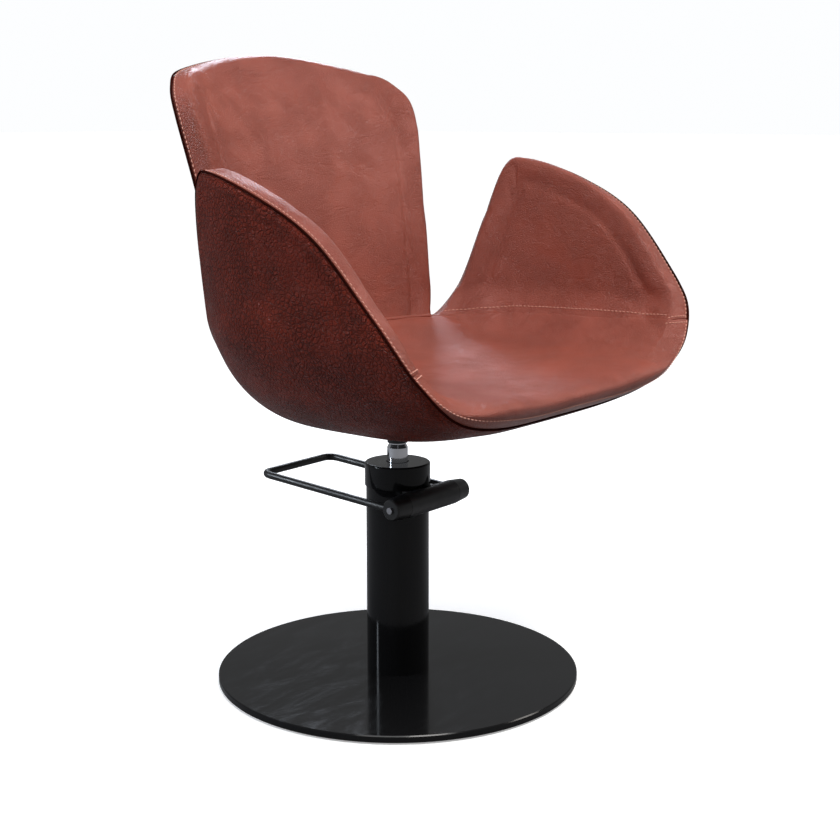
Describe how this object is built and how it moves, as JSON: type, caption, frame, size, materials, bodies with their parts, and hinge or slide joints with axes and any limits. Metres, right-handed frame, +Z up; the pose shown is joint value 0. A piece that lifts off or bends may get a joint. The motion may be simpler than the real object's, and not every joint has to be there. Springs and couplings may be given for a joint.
{
  "type": "styling chair",
  "caption": "Leather tub chair with swept armrests on a hydraulic column with a foot lever and a round floor plate.",
  "frame": {"origin": "on the floor under the column axis", "axes": "+Z up along the column, -Y the way the chair faces, +X to the sitter's left"},
  "size_m": [0.7916, 0.648, 0.988],
  "materials": {
    "black_gloss": "gloss black powder coat",
    "black_satin": "satin black powder coat",
    "bare_steel": "machined",
    "bronze": "machined",
    "rubber": "matt",
    "chrome": "satin chrome",
    "moulding": "moulded",
    "black_cloth": "woven lining",
    "leather_outer": "pebbled",
    "leather_inner": "smooth grain, semi-gloss"
  },
  "bodies": {
    "base": {"floor_pad": "rubber", "base_plate": "black_gloss", "base_screws": "bare_steel", "column_flange": "bare_steel", "column_tube": "black_gloss", "oil_cylinder": "bare_steel", "pump_block": "bare_steel", "pump_head": "black_gloss", "head_bush": "bronze", "wiper_seal": "rubber", "lever_housing": "black_satin", "shaft_bushes": "bronze"},
    "lift": {"ram_piston": "bare_steel", "piston_seal": "rubber", "thrust_washer": "bronze"},
    "seat": {"ram": "chrome", "seat_socket": "black_satin", "socket_screws": "bare_steel", "seat_plate": "bare_steel", "under_cover": "black_cloth", "shell_core": "moulding", "outer_cover": "leather_outer", "back_cover": "leather_outer", "trim_welt": "leather_outer", "seat_cushion": "leather_inner", "arm_pad_right": "leather_inner", "arm_pad_left": "leather_inner", "back_pad": "leather_inner"},
    "lever": {"lever_shaft": "bare_steel", "rocker": "bare_steel", "lever_cap_right": "black_satin", "lever_cap_left": "black_satin", "cap_screws": "bare_steel", "lever_loop": "black_satin"},
    "plunger": {"pump_plunger": "bare_steel", "plunger_spring": "bare_steel"}
  },
  "joints": [
    {"name": "seat_height", "type": "slide", "parent": "base", "child": "lift", "axis": [0, 0, 1], "range_m": [0, 0.14]},
    {"name": "seat_swivel", "type": "hinge", "parent": "lift", "child": "seat", "pos_m": [0, 0, 0.4], "axis": [0, 0, 1], "continuous": true},
    {"name": "lever_press", "type": "hinge", "parent": "base", "child": "lever", "pos_m": [0, -0.06, 0.302], "axis": [1, 0, 0], "range_deg": [-25, 0]},
    {"name": "plunger_stroke", "type": "slide", "parent": "base", "child": "plunger", "axis": [0, 0, 1], "range_m": [-0.0125, 0], "deforming": ["plunger_spring"]}
  ],
  "couplings": [
    {"joint": "plunger_stroke", "follows": "lever_press", "m_per_rad": 0.028}
  ]
}
